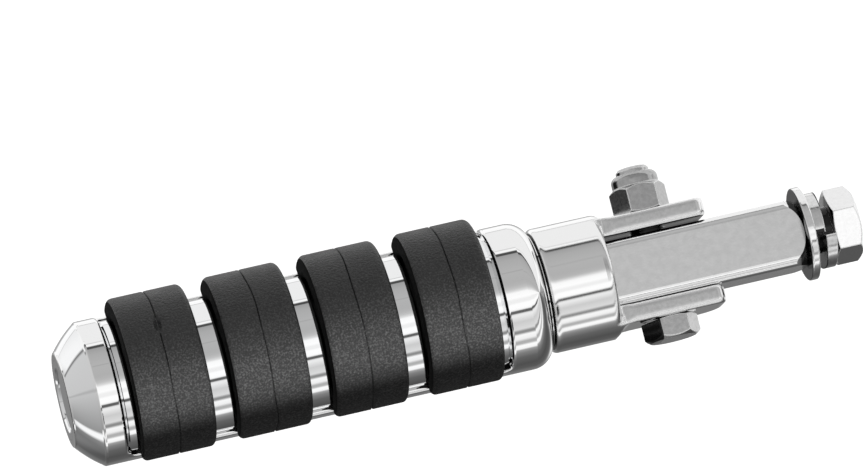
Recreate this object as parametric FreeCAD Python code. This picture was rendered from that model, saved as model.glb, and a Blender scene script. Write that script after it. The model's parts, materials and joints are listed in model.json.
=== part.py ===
import FreeCAD, Part
import math
import os

from FreeCAD import Placement, Rotation, Vector

# Motorcycle highway peg: a chromed foot peg with four rubber bands on a folding clevis.
# Millimetres. The bar's axis is X, the bolted end of the bar is at X = 0 and the peg points to -X.
# +Z is the side that the foot rests on and the pivot runs along Y.

# Mounting end
bar_size = 19.05
bar_edge_radius = 2.6
bar_tail_chamfer = 0.5
bar_end_face_inset = 0.2
bar_end_taper_length = 5.2
bar_end_bulge = 0.6
mount_bolt_diameter = 12.7
mount_bolt_length = 31.75
mount_bolt_hex = 19.05
mount_bolt_head_height = 7.94
mount_bolt_turn = 13.0
mount_bolt_point_chamfer = 1.0
mount_hole_extra_depth = 5.0
flat_washer_diameter = 27.0
flat_washer_thickness = 2.4
flat_washer_bolt_gap = 0.4
flat_washer_edge_radius = 0.4
lock_washer_diameter = 22.1
lock_washer_thickness = 3.1
lock_washer_bolt_gap = 0.15
lock_washer_cut = 5.0
lock_washer_cut_turn = 191.0

# Hexagon heads
head_crown_angle = 35.0
head_crown_inset = 0.5
head_seat_inset = 0.2
head_seat_relief = 0.5

# Pivot
pivot_to_bar_end = 42.7
pivot_to_bar_tail = 22.3
pivot_bolt_diameter = 9.525
pivot_bolt_length = 44.45
pivot_bolt_hex = 14.29
pivot_bolt_head_height = 6.2
pivot_bolt_point_chamfer = 0.8
pivot_nut_height = 11.7
pivot_nut_hex_height = 8.0
pivot_nut_collar_radius = 6.75
pivot_nut_collar_round = 2.0
pivot_nut_shoulder = 1.2
nut_insert_height = 3.6
nut_insert_radius = 5.9
nut_insert_depth = 0.7
nut_lip = 0.5
running_gap = 0.05

# Adjusting screw in the bar's inner end
adjuster_diameter = 7.94
adjuster_length = 31.75
adjuster_tilt = 8.0
adjuster_from_bar_tail = 6.9
adjuster_point_radius = 6.35
adjuster_end_chamfer = 0.6
adjuster_socket_hex = 3.97
adjuster_socket_depth = 5.0
adjuster_stop_gap = 0.05

# Clevis
clevis_radius = 18.05
clevis_base_thickness = 4.4
clevis_floor_gap = 7.9
front_wall_past_bar_tail = 7.4
channel_side_play = 1.2
side_lean = 0.5
shoulder_step = 2.525
ear_height = 19.0
ear_reach = 16.4
ear_upper_corner = 3.0
ear_lower_corner = 8.0
shoulder_radius = 2.4
shoulder_behind_wall_end = 2.0
ear_edge_round = 1.2
ear_edge_run_out = 3.0
ear_edge_first_round = 0.05
front_wall_gap = 1.1
front_wall_corner = 1.5
front_wall_end_round = 1.6
clevis_rim_round = 1.6
spigot_radius = 10.0
spigot_end_gap = 0.2
clamp_bolt_diameter = 9.525
clamp_bolt_length = 31.75
clamp_bolt_head_diameter = 14.29
clamp_bolt_head_height = 9.5
clamp_bolt_socket_hex = 7.94
clamp_bolt_socket_depth = 4.6
clamp_bolt_head_chamfer = 0.6
clamp_bolt_gap = 0.2
clamp_washer_thickness = 2.4
clamp_washer_cut = 1.6
counterbore_gap = 0.6
clamp_bolt_swing_gap = 1.05
tapped_hole_extra_depth = 3.0

# Peg
clamp_turn = 7.5
nose_radius = 20.85
collar_radius = 21.15
collar_end_radius = 18.4
collar_length = 13.4
collar_round_length = 5.2
collar_edge_radius = 0.5
collar_groove_width = 1.0
collar_groove_radius = 16.6
nose_cap_length = 6.3
nose_taper_length = 7.7
nose_face_radius = 13.6
nose_edge_radius = 0.9
shell_wall = 1.3
window_edge_height = 1.5
window_corner_radius = 3.0
window_rim_round = 1.0
slot_width = 5.8
slot_half_angle = 20.7
slot_corner_radius = 1.2
core_gap = 0.05
core_hub_radius = 13.0
core_end_chamfer = 0.8
land_edge_chamfer = 0.35
disc_radius = 11.5
disc_thickness = 1.6
disc_dish_radius = 9.6
disc_dish_depth = 0.5
disc_gap = 0.05
nose_screw_diameter = 6.35
nose_screw_length = 25.4
nose_screw_head_radius = 6.2
nose_screw_socket_hex = 3.97
nose_screw_socket_depth = 2.2

# Rubber bands
band_count = 4
band_pitch = 28.0
band_width = 21.4
band_radius = 23.5
band_offset = 6.0
band_edge_radius = 2.0
band_foot_gap = 0.4
strap_width = 5.5
groove_side_gap = 0.1

# How far a cutter runs past the piece that it cuts, and how far a shank runs into its head
past = 1.0
overlap = 0.5
same = 0.01

# Places along X that follow from the sizes above
pivot_x = -pivot_to_bar_end
bar_tail_x = pivot_x - pivot_to_bar_tail
clevis_floor_x = bar_tail_x - clevis_floor_gap
clevis_x = clevis_floor_x - clevis_base_thickness
front_wall_end_x = bar_tail_x + front_wall_past_bar_tail
ear_end_x = pivot_x + ear_reach
ear_top_x = front_wall_end_x + front_wall_corner
ear_round_x = ear_top_x + ear_edge_run_out
window_length = band_count * band_pitch
collar_end_x = clevis_x - collar_groove_width
window_inner_x = clevis_x - collar_length
window_outer_x = window_inner_x - window_length
taper_x = window_outer_x - nose_cap_length
nose_x = taper_x - nose_taper_length
lock_washer_x = flat_washer_thickness
mount_head_x = lock_washer_x + 2.0 * lock_washer_thickness

# Radii and half widths that follow
bar_half = bar_size / 2.0
bar_corner_reach = (bar_half - bar_edge_radius) * math.sqrt(2.0) + bar_edge_radius
channel_half = bar_half + channel_side_play / 2.0
ear_outer = clevis_radius - shoulder_step
ear_thickness = ear_outer - channel_half
ear_round = min(ear_edge_round, 0.45 * ear_thickness)
front_wall_height = bar_half + front_wall_gap
shell_bore_radius = nose_radius - shell_wall
core_radius = shell_bore_radius - core_gap
strap_core_radius = core_radius - core_gap
bar_tail_swing = math.hypot(pivot_to_bar_tail, bar_half)
clamp_bolt_top_x = pivot_x - bar_tail_swing - clamp_bolt_swing_gap
clamp_head_x = clamp_bolt_top_x - clamp_bolt_head_height
counterbore_x = clamp_head_x - clamp_washer_thickness

ORIGIN = Vector(0, 0, 0)
ALONG_X = Vector(1, 0, 0)
ALONG_Y = Vector(0, 1, 0)
ALONG_Z = Vector(0, 0, 1)


def turned(points):
    """Solid turned about the X axis from (x, radius) points and arcs given as three points."""
    edges = []
    for start, step in zip(points, points[1:] + points[:1]):
        a = Vector(start[0], start[1], 0)
        b = Vector(step[0], step[1], 0)
        if len(start) == 4:
            edges.append(Part.Arc(a, Vector(start[2], start[3], 0), b).toShape())
        else:
            edges.append(Part.LineSegment(a, b).toShape())
    return Part.Face(Part.Wire(edges)).revolve(ORIGIN, ALONG_X, 360)


def rod(x_start, x_end, radius):
    """Round bar on the X axis."""
    return Part.makeCylinder(radius, x_end - x_start, Vector(x_start, 0, 0), ALONG_X)


def block(x_low, x_high, y_low, y_high, z_low, z_high):
    """Box between two corners."""
    size = (x_high - x_low, y_high - y_low, z_high - z_low)
    return Part.makeBox(size[0], size[1], size[2], Vector(x_low, y_low, z_low))


def hexagon(across_flats, x_start, x_end):
    """Hexagonal bar on the X axis with one flat facing +Z."""
    corner = across_flats / math.sqrt(3.0)
    points = []
    for step in range(7):
        angle = math.radians(60.0 * step)
        points.append(Vector(x_start, corner * math.cos(angle), corner * math.sin(angle)))
    return Part.Face(Part.makePolygon(points)).extrude(Vector(x_end - x_start, 0, 0))


def hex_head(across_flats, height):
    """Bolt head on the X axis from 0 to height, crowned above and relieved at its seat."""
    corner = across_flats / math.sqrt(3.0)
    seat_radius = across_flats / 2.0 - head_seat_inset
    crown_radius = across_flats / 2.0 - head_crown_inset
    crown_height = (corner - crown_radius) * math.tan(math.radians(head_crown_angle))
    outline = turned([
        (0.0, 0.0),
        (0.0, seat_radius),
        (head_seat_relief, corner),
        (height - crown_height, corner),
        (height, crown_radius),
        (height, 0.0),
    ])
    return hexagon(across_flats, 0.0, height).common(outline)


def point_end(length, diameter, chamfer):
    """Last stretch of a bolt's shank on the X axis, chamfered at its point."""
    return turned([
        (length - chamfer, 0.0),
        (length - chamfer, diameter / 2.0),
        (length, diameter / 2.0 - chamfer),
        (length, 0.0),
    ])


def split_ring(inner_radius, outer_radius, thickness, cut_angle, cut_turn, x_start):
    """Open spring washer: one left-handed turn of a square coil that climbs by its own thickness."""
    sweep = 360.0 - cut_angle
    climb = thickness * sweep / 360.0
    middle = (inner_radius + outer_radius) / 2.0
    path = Part.makeHelix(climb * 360.0 / sweep, climb, middle)
    half_width = (outer_radius - inner_radius) / 2.0
    corners = [
        Vector(middle - half_width, 0, 0),
        Vector(middle + half_width, 0, 0),
        Vector(middle + half_width, 0, thickness),
        Vector(middle - half_width, 0, thickness),
        Vector(middle - half_width, 0, 0),
    ]
    coil = Part.Wire(path.Edges).makePipeShell([Part.makePolygon(corners)], True, True)
    coil.rotate(ORIGIN, ALONG_Y, 90)
    coil = coil.mirror(ORIGIN, ALONG_Y)
    coil.rotate(ORIGIN, ALONG_X, cut_turn)
    coil.translate(Vector(x_start, 0, 0))
    return coil


def rounded_slot(x_centre, width, half_length, corner, z_low, z_high):
    """Vertical cutter with a rounded rectangular outline, narrow along X and long along Y."""
    cutter = block(x_centre - width / 2.0, x_centre + width / 2.0, -half_length, half_length, z_low, z_high)
    upright = [e for e in cutter.Edges if abs(e.tangentAt(e.FirstParameter).z) > 0.99]
    return cutter.makeFillet(corner, upright)


def band_centres():
    """X places of the bands, half a pitch from each end of the window."""
    return [window_outer_x + band_pitch * (i + 0.5) for i in range(band_count)]


def on_peg(shape):
    """Put a piece of the peg where its clamp bolt holds it: turned about X and leaning to one ear."""
    shape.rotate(ORIGIN, ALONG_X, -clamp_turn)
    shape.translate(Vector(0, side_lean, 0))
    return shape


def on_clevis(shape):
    """Put a piece of the clevis where it leans on the bar."""
    shape.translate(Vector(0, side_lean, 0))
    return shape


def peg_shell():
    """Thin chromed sleeve with a solid nose and collar, a window on top and four slots behind."""
    drop = collar_radius - collar_end_radius
    arc_radius = (collar_round_length ** 2 + drop ** 2) / (2.0 * drop)
    half_turn = math.asin(collar_round_length / arc_radius) / 2.0
    round_x = collar_end_x - collar_round_length
    arc_x = round_x + arc_radius * math.sin(half_turn)
    arc_r = collar_radius - arc_radius * (1.0 - math.cos(half_turn))
    body = turned([
        (nose_x, 0.0),
        (nose_x, nose_face_radius),
        (taper_x, nose_radius),
        (window_outer_x, nose_radius),
        (window_inner_x, collar_radius),
        (round_x, collar_radius, arc_x, arc_r),
        (collar_end_x, collar_end_radius),
        (collar_end_x, collar_groove_radius),
        (clevis_x, collar_groove_radius),
        (clevis_x, 0.0),
    ])
    nose_rings = rings_at(body, nose_x, nose_face_radius) + rings_at(body, taper_x, nose_radius)
    body = body.makeFillet(nose_edge_radius, nose_rings)
    body = body.makeFillet(collar_edge_radius, rings_at(body, collar_end_x, collar_end_radius))

    cavity = rod(window_outer_x, window_inner_x, shell_bore_radius)
    window = block(window_outer_x, window_inner_x, -2 * collar_radius, 2 * collar_radius,
                   window_edge_height, 2 * collar_radius)
    low_edges = []
    for e in window.Edges:
        if abs(e.tangentAt(e.FirstParameter).y) > 0.99 and e.BoundBox.ZMax < window_edge_height + same:
            low_edges.append(e)
    window = window.makeFillet(window_corner_radius, low_edges)
    body = body.cut(cavity).cut(window)
    body = body.makeFillet(window_rim_round, window_rim(body))

    slot_half = nose_radius * math.sin(math.radians(slot_half_angle))
    for x in band_centres():
        body = body.cut(rounded_slot(x, slot_width, slot_half, slot_corner_radius,
                                     -2 * collar_radius, -core_hub_radius))

    body = body.cut(rod(window_inner_x - past, clevis_x + past, spigot_radius + core_gap))
    body = body.cut(rod(nose_x - past, nose_x + disc_thickness, disc_radius + disc_gap))
    body = body.cut(nose_screw_outline(core_gap))
    return on_peg(body)


def rings_at(shape, x, radius):
    """Circular edges of a turned piece at a given x and radius."""
    found = []
    for e in shape.Edges:
        box = e.BoundBox
        if box.XLength < same and abs(box.XMin - x) < same and abs(box.YMax - radius) < same:
            found.append(e)
    return found


def window_rim(shape):
    """Outer edges of the sleeve's window, all the way round it."""
    found = []
    for e in shape.Edges:
        box = e.BoundBox
        inside = box.XMin > window_outer_x - same and box.XMax < window_inner_x + same
        above = box.ZMin > window_edge_height - same
        middle = e.valueAt((e.FirstParameter + e.LastParameter) / 2.0)
        if inside and above and math.hypot(middle.y, middle.z) > shell_bore_radius + shell_wall / 2.0:
            found.append(e)
    return found


def nose_screw_outline(gap):
    """Countersunk screw's outline, grown by a gap on its flanks."""
    head_x = nose_x + disc_thickness
    shank = nose_screw_diameter / 2.0
    head = nose_screw_head_radius
    return turned([
        (head_x, 0.0),
        (head_x, head + gap),
        (head_x + head - shank, shank + gap),
        (head_x + nose_screw_length, shank + gap),
        (head_x + nose_screw_length, 0.0),
    ])


def nose_screw():
    """Countersunk screw that holds the core's outer end, under the disc."""
    head_x = nose_x + disc_thickness
    screw = nose_screw_outline(0.0)
    socket = hexagon(nose_screw_socket_hex, head_x, head_x + nose_screw_socket_depth)
    return on_peg(screw.cut(socket))


def nose_disc():
    """Plain dished disc that closes the nose."""
    disc = rod(nose_x, nose_x + disc_thickness, disc_radius)
    dish = turned([
        (nose_x, 0.0),
        (nose_x, disc_dish_radius),
        (nose_x + disc_dish_depth, disc_dish_radius - disc_dish_depth),
        (nose_x + disc_dish_depth, 0.0),
    ])
    return on_peg(disc.cut(dish))


def peg_core():
    """Chromed core: its lands show between the bands and its grooves carry them."""
    core = turned([
        (window_outer_x, 0.0),
        (window_outer_x, core_radius - core_end_chamfer),
        (window_outer_x + core_end_chamfer, core_radius),
        (window_inner_x - core_end_chamfer, core_radius),
        (window_inner_x, core_radius - core_end_chamfer),
        (window_inner_x, 0.0),
    ])
    pocket_floor = window_edge_height + band_foot_gap / 2.0
    for x in band_centres():
        half_wide = band_width / 2.0 + groove_side_gap
        half_strap = strap_width / 2.0 + groove_side_gap
        pocket = flared_rod(x, half_wide)
        pocket = pocket.common(block(x - band_pitch, x + band_pitch, -2 * core_radius, 2 * core_radius,
                                     pocket_floor, 2 * core_radius))
        groove = flared_rod(x, half_strap)
        hub = rod(x - band_pitch, x + band_pitch, core_hub_radius)
        core = core.cut(pocket.cut(hub)).cut(groove.cut(hub))
    core = core.cut(nose_screw_outline(core_gap))
    tapped_x = clamp_head_x - clamp_bolt_length - tapped_hole_extra_depth
    core = core.cut(rod(tapped_x, window_inner_x + past, clamp_bolt_diameter / 2.0 + core_gap))
    return on_peg(core)


def flared_rod(x, half_length):
    """Round cutter for a groove in the core, flared so that it breaks the groove's two edges."""
    waist = core_radius - land_edge_chamfer
    wide = half_length + land_edge_chamfer + past
    return turned([
        (x - half_length, 0.0),
        (x - half_length, waist),
        (x - wide, core_radius + past),
        (x + wide, core_radius + past),
        (x + half_length, waist),
        (x + half_length, 0.0),
    ])


def rubber_band(x):
    """Rubber band: a wide pad over the window and a narrow strap behind, on one off-centre circle."""
    centre = Vector(x - band_width / 2.0, 0, band_offset)
    pad = Part.makeCylinder(band_radius, band_width, centre, ALONG_X)
    foot = window_edge_height + band_foot_gap
    pad = pad.common(block(x - band_width, x + band_width, -2 * band_radius, 2 * band_radius,
                           foot, 3 * band_radius))
    outer = []
    for e in pad.Edges:
        runs_along = abs(e.tangentAt(e.FirstParameter).x) > 0.99
        if e.BoundBox.ZMax > foot + band_edge_radius or runs_along:
            outer.append(e)
    pad = pad.makeFillet(band_edge_radius, outer)

    strap_start = Vector(x - strap_width / 2.0, 0, band_offset)
    strap = Part.makeCylinder(band_radius, strap_width, strap_start, ALONG_X)
    strap = strap.common(rod(x - band_width, x + band_width, strap_core_radius))
    band = pad.fuse(strap).cut(rod(x - band_width, x + band_width, core_hub_radius + core_gap))
    return on_peg(band.removeSplitter())


def clevis():
    """Forged clevis: round base with a spigot, a front wall as the stop, and two ears."""
    far = 3 * clevis_radius
    body = rod(clevis_x, ear_round_x, clevis_radius)

    shoulder_x = front_wall_end_x - shoulder_behind_wall_end
    turn = math.acos(max(0.0, 1.0 - shoulder_step / (2.0 * shoulder_radius)))
    run = shoulder_radius * math.sin(turn)
    beyond_x = ear_round_x + past
    for side in (1, -1):
        corner = Vector(shoulder_x, side * clevis_radius, 0)
        middle = Vector(shoulder_x + run, side * (clevis_radius - shoulder_step / 2.0), 0)
        inner = Vector(shoulder_x + 2 * run, side * ear_outer, 0)
        half_run = shoulder_radius * math.sin(turn / 2.0)
        half_drop = shoulder_radius * (1.0 - math.cos(turn / 2.0))
        high = Vector(shoulder_x + half_run, side * (clevis_radius - half_drop), 0)
        low = Vector(inner.x - half_run, side * (ear_outer + half_drop), 0)
        edges = [
            Part.Arc(corner, high, middle).toShape(),
            Part.Arc(middle, low, inner).toShape(),
            Part.makeLine(inner, Vector(beyond_x, side * ear_outer, 0)),
            Part.makeLine(Vector(beyond_x, side * ear_outer, 0), Vector(beyond_x, side * far, 0)),
            Part.makeLine(Vector(beyond_x, side * far, 0), Vector(shoulder_x, side * far, 0)),
            Part.makeLine(Vector(shoulder_x, side * far, 0), corner),
        ]
        relief = Part.Face(Part.Wire(edges)).extrude(Vector(0, 0, 2 * far))
        relief.translate(Vector(0, 0, -far))
        body = body.cut(relief)

    above = block(front_wall_end_x, far, -far, far, ear_height / 2.0, far)
    above = above.makeFillet(front_wall_corner, low_corner_edges(above, front_wall_end_x, ear_height / 2.0))
    below = block(clevis_floor_x, far, -far, far, -far, -ear_height / 2.0)
    below = below.makeFillet(ear_upper_corner, low_corner_edges(below, clevis_floor_x, -ear_height / 2.0))
    body = body.cut(above).cut(below)
    body = body.cut(front_wall_end_cutter())

    channel = block(clevis_floor_x, far, -channel_half, channel_half, -far, front_wall_height)
    open_top = block(front_wall_end_x, far, -channel_half, channel_half, -far, far)
    body = body.cut(channel).cut(open_top)
    body = body.makeFillet(clevis_rim_round, rings_at(body, clevis_x, clevis_radius))
    for side in (1, -1):
        for height in (1, -1):
            body = body.cut(ear_run_out(side * ear_outer, side, height))
            body = body.cut(ear_run_out(side * channel_half, -side, height))
        body = body.fuse(ear_plate(side))

    spigot_x = clevis_x - collar_length + spigot_end_gap
    body = body.fuse(rod(spigot_x, clevis_x + past, spigot_radius))
    body = body.cut(rod(spigot_x - past, clevis_floor_x + past, clamp_bolt_diameter / 2.0 + clamp_bolt_gap))
    head_hole = clamp_bolt_head_diameter / 2.0 + counterbore_gap
    body = body.cut(rod(counterbore_x, clevis_floor_x + past, head_hole))
    pivot_radius = pivot_bolt_diameter / 2.0 + running_gap
    body = body.cut(Part.makeCylinder(pivot_radius, 2 * far, Vector(pivot_x, -far, 0), ALONG_Y))
    return on_clevis(body.removeSplitter())


def low_corner_edges(shape, x, z):
    """Edges of a cutter that run along Y at a given x and z."""
    found = []
    for e in shape.Edges:
        box = e.BoundBox
        if box.YLength > same and abs(box.XMax - x) < same and abs(box.ZMax - z) < same:
            found.append(e)
    return found


def front_wall_end_cutter():
    """Ring that rounds the outer edge of the front wall's end, above the ears only."""
    bend = front_wall_end_round
    start = front_wall_end_x - bend
    low = clevis_radius - bend
    middle = bend * math.sqrt(0.5)
    ring = turned([
        (start, clevis_radius, start + middle, low + middle),
        (front_wall_end_x, low),
        (front_wall_end_x + past, low),
        (front_wall_end_x + past, clevis_radius + past),
        (start, clevis_radius + past),
    ])
    far = 2 * clevis_radius
    return ring.common(block(start - past, front_wall_end_x + 2 * past, -far, far, ear_height / 2.0, far))


def ear_plate(side):
    """One ear beyond the front wall: two corner radii, and its edges rounded all the way round."""
    half = ear_height / 2.0
    faces = sorted((side * channel_half, side * ear_outer))
    plate = block(ear_round_x, ear_end_x, faces[0], faces[1], -half, half)
    plate = plate.makeFillet(ear_upper_corner, low_corner_edges(plate, ear_end_x, half))
    plate = plate.makeFillet(ear_lower_corner, low_corner_edges(plate, ear_end_x, -half))
    rims = [e for e in plate.Edges if e.BoundBox.YLength < same and e.BoundBox.XMax > ear_round_x + same]
    return plate.makeFillet(ear_round, rims)


def ear_run_out(y, out_y, out_z):
    """Cutter along an ear's edge that starts sharp and ends with the ear plate's rounding."""
    z = out_z * ear_height / 2.0
    start = rounding_section(ear_top_x, y, z, out_y, out_z, ear_edge_first_round)
    end = rounding_section(ear_round_x, y, z, out_y, out_z, ear_round)
    return Part.makeLoft([start, end], True, True)


def rounding_section(x, y, z, out_y, out_z, radius):
    """Outline of what a rounding takes off an edge, at one x; out_y and out_z point away from the solid."""
    bend = radius * (1.0 - math.sqrt(0.5))
    on_top = Vector(x, y - out_y * radius, z)
    middle = Vector(x, y - out_y * bend, z - out_z * bend)
    on_side = Vector(x, y, z - out_z * radius)
    beside = Vector(x, y + out_y * past, z - out_z * radius)
    corner = Vector(x, y + out_y * past, z + out_z * past)
    above = Vector(x, y - out_y * radius, z + out_z * past)
    return Part.Wire([
        Part.Arc(on_top, middle, on_side).toShape(),
        Part.makeLine(on_side, beside),
        Part.makeLine(beside, corner),
        Part.makeLine(corner, above),
        Part.makeLine(above, on_top),
    ])


def clamp_washer():
    """Closed lock washer under the clamp bolt's head."""
    outer = clamp_bolt_head_diameter / 2.0
    ring = rod(counterbore_x, clamp_head_x, outer)
    hole = rod(counterbore_x - past, clamp_head_x + past, clamp_bolt_diameter / 2.0 + clamp_bolt_gap / 2.0)
    half_cut = clamp_washer_cut / 2.0
    cut = block(counterbore_x - past, clamp_head_x + past, -half_cut, half_cut, 0.0, 2.0 * outer)
    return on_clevis(ring.cut(hole).cut(cut))


def clamp_bolt():
    """Socket head bolt that clamps the clevis, shell and core together."""
    top_x = clamp_bolt_top_x
    bolt = rod(clamp_head_x, top_x, clamp_bolt_head_diameter / 2.0)
    bolt = bolt.makeChamfer(clamp_bolt_head_chamfer, rings_at(bolt, top_x, clamp_bolt_head_diameter / 2.0))
    bolt = bolt.fuse(rod(clamp_head_x - clamp_bolt_length, clamp_head_x + overlap, clamp_bolt_diameter / 2.0))
    bolt = bolt.cut(hexagon(clamp_bolt_socket_hex, top_x - clamp_bolt_socket_depth, top_x + past))
    return on_clevis(bolt)


def upright_to_pivot(shape, y):
    """Turn a piece made along X onto the pivot axis, starting at y and pointing to +Y."""
    shape.rotate(ORIGIN, ALONG_Z, 90)
    shape.translate(Vector(pivot_x, y, 0))
    return shape


def pivot_bolt():
    """Hex bolt through both ears and the bar, its head on the -Y ear."""
    bolt = hex_head(pivot_bolt_hex, pivot_bolt_head_height)
    bolt.rotate(ORIGIN, ALONG_Z, 180)
    shank_end = pivot_bolt_length - pivot_bolt_point_chamfer
    bolt = bolt.fuse(rod(-overlap, shank_end, pivot_bolt_diameter / 2.0))
    bolt = bolt.fuse(point_end(pivot_bolt_length, pivot_bolt_diameter, pivot_bolt_point_chamfer))
    return on_clevis(upright_to_pivot(bolt.removeSplitter(), -ear_outer))


def pivot_nut():
    """Lock nut on the +Y ear: a hexagon with a round collar that holds the nylon ring."""
    corner = pivot_bolt_hex / math.sqrt(3.0)
    top = pivot_nut_height
    bend = pivot_nut_collar_round
    bend_middle = bend * (1.0 - math.sqrt(0.5))
    outline = turned([
        (0.0, 0.0),
        (0.0, pivot_bolt_hex / 2.0 - head_seat_inset),
        (head_seat_relief, corner),
        (pivot_nut_hex_height - pivot_nut_shoulder, corner),
        (pivot_nut_hex_height, pivot_nut_collar_radius),
        (top - bend, pivot_nut_collar_radius, top - bend_middle, pivot_nut_collar_radius - bend_middle),
        (top, pivot_nut_collar_radius - bend),
        (top, 0.0),
    ])
    nut = hexagon(pivot_bolt_hex, 0.0, top).common(outline)
    nut = nut.cut(rod(-past, top + past, pivot_bolt_diameter / 2.0 + core_gap))
    seat = top - nut_insert_depth
    nut = nut.cut(rod(seat - nut_insert_height, seat, nut_insert_radius))
    nut = nut.cut(rod(seat - nut_insert_height / 2.0, top + past, nut_insert_radius - nut_lip))
    return on_clevis(upright_to_pivot(nut.removeSplitter(), ear_outer))


def nut_insert():
    """Nylon ring held in the nut's collar."""
    seat = pivot_nut_height - nut_insert_depth
    ring = rod(seat - nut_insert_height, seat, nut_insert_radius)
    ring = ring.cut(rod(0, pivot_nut_height, pivot_bolt_diameter / 2.0 + core_gap))
    return on_clevis(upright_to_pivot(ring, ear_outer))


def mount_bar():
    """Square bar with rounded edges, a turned outer end and an inner end inside the clevis."""
    bar = block(bar_tail_x, 0.0, -bar_half, bar_half, -bar_half, bar_half)
    long_edges = [e for e in bar.Edges if abs(e.tangentAt(e.FirstParameter).x) > 0.99]
    bar = bar.makeFillet(bar_edge_radius, long_edges)
    tail_edges = [e for e in bar.Edges if e.BoundBox.XMax < bar_tail_x + same]
    bar = bar.makeChamfer(bar_tail_chamfer, tail_edges)
    bar = bar.common(bar_end_outline())
    hole_x = mount_head_x - mount_bolt_length - mount_hole_extra_depth
    bar = bar.cut(rod(hole_x, past, mount_bolt_diameter / 2.0 + core_gap))
    pivot = Part.makeCylinder(pivot_bolt_diameter / 2.0 + running_gap, 2 * bar_size,
                              Vector(pivot_x, -bar_size, 0), ALONG_Y)
    bar = bar.cut(pivot)
    screw_hole = rod(-adjuster_length, adjuster_length, adjuster_diameter / 2.0 + running_gap)
    return bar.cut(on_adjuster_axis(screw_hole, 0.0))


def bar_end_outline():
    """Round solid that the bar's outer end is turned to: its corners run down to the face in an arc."""
    side = bar_corner_reach + bar_end_face_inset
    face = bar_half - bar_end_face_inset
    chord = math.hypot(bar_end_taper_length, side - face)
    arc_x = -bar_end_taper_length / 2.0 + bar_end_bulge * (side - face) / chord
    arc_r = (side + face) / 2.0 + bar_end_bulge * bar_end_taper_length / chord
    return turned([
        (bar_tail_x - past, 0.0),
        (bar_tail_x - past, side),
        (-bar_end_taper_length, side, arc_x, arc_r),
        (0.0, face),
        (0.0, 0.0),
    ])


def on_adjuster_axis(shape, along):
    """Lay a piece made along X on the adjusting screw's axis, its +X end towards the front wall."""
    tilt = math.radians(adjuster_tilt)
    shape.rotate(ORIGIN, ALONG_Y, -90.0 - adjuster_tilt)
    start = Vector(bar_tail_x + adjuster_from_bar_tail, 0, -bar_half)
    shape.translate(start + Vector(-math.sin(tilt), 0, math.cos(tilt)) * along)
    return shape


def adjusting_screw():
    """Socket set screw through the bar; its oval point bears on the front wall."""
    radius = adjuster_diameter / 2.0
    chamfer = adjuster_end_chamfer
    dome_centre = adjuster_length - adjuster_point_radius
    rim = radius - chamfer
    rim_x = dome_centre + math.sqrt(adjuster_point_radius ** 2 - rim ** 2)
    middle_x = dome_centre + math.sqrt(adjuster_point_radius ** 2 - (rim / 2.0) ** 2)
    screw = turned([
        (0.0, 0.0),
        (0.0, rim),
        (chamfer, radius),
        (rim_x - chamfer, radius),
        (rim_x, rim, middle_x, rim / 2.0),
        (adjuster_length, 0.0),
    ])
    screw = screw.cut(hexagon(adjuster_socket_hex, -past, adjuster_socket_depth))
    centre_height = front_wall_height - adjuster_stop_gap - adjuster_point_radius
    along = (centre_height + bar_half) / math.cos(math.radians(adjuster_tilt)) - dome_centre
    return on_adjuster_axis(screw, along)


def flat_washer():
    """Flat washer against the bar's outer end."""
    washer = rod(0.0, flat_washer_thickness, flat_washer_diameter / 2.0)
    rims = [e for e in washer.Edges if e.BoundBox.XLength < same]
    washer = washer.makeFillet(flat_washer_edge_radius, rims)
    hole = rod(-past, flat_washer_thickness + past, mount_bolt_diameter / 2.0 + flat_washer_bolt_gap)
    return washer.cut(hole)


def lock_washer():
    """Split lock washer, not yet closed."""
    inner = mount_bolt_diameter / 2.0 + lock_washer_bolt_gap
    return split_ring(inner, lock_washer_diameter / 2.0, lock_washer_thickness,
                      lock_washer_cut, lock_washer_cut_turn, lock_washer_x)


def mounting_bolt():
    """Hex bolt that screws into the bar and clamps the vehicle's bracket."""
    shank_end = mount_bolt_length - mount_bolt_point_chamfer
    shank = rod(-overlap, shank_end, mount_bolt_diameter / 2.0)
    shank = shank.fuse(point_end(mount_bolt_length, mount_bolt_diameter, mount_bolt_point_chamfer))
    shank.rotate(ORIGIN, ALONG_Z, 180)
    bolt = hex_head(mount_bolt_hex, mount_bolt_head_height).fuse(shank).removeSplitter()
    bolt.rotate(ORIGIN, ALONG_X, mount_bolt_turn)
    bolt.translate(Vector(mount_head_x, 0, 0))
    return bolt


def build():
    """All pieces by node name."""
    pieces = {
        "peg_shell": peg_shell(),
        "peg_core": peg_core(),
        "nose_disc": nose_disc(),
        "nose_screw": nose_screw(),
        "clevis": clevis(),
        "clamp_bolt": clamp_bolt(),
        "clamp_washer": clamp_washer(),
        "pivot_bolt": pivot_bolt(),
        "pivot_nut": pivot_nut(),
        "nut_insert": nut_insert(),
        "mount_bar": mount_bar(),
        "adjusting_screw": adjusting_screw(),
        "flat_washer": flat_washer(),
        "lock_washer": lock_washer(),
        "mounting_bolt": mounting_bolt(),
    }
    for number, x in enumerate(band_centres(), start=1):
        pieces["rubber_band_%d" % number] = rubber_band(x)
    return pieces


os.makedirs("parts", exist_ok=True)
for name, shape in build().items():
    shape.exportStep("parts/%s.step" % name)
    print(name, len(shape.Solids), "solid", shape.isValid(), round(shape.Volume), "mm3")
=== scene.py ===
# %% [markdown]
# A folding foot peg for a motorcycle: a chromed round peg with four rubber bands, a clevis, and a
# square bar with the bolt that holds it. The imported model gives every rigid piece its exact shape.
# This script gives each piece its finish, and makes three things as new surfaces: the moulded
# rubber, the bulge of the nose and the thread of the adjusting screw.

# %% Load the fixed frame
import json

import bpy
import numpy as np
from mathutils import Matrix, Vector


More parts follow.
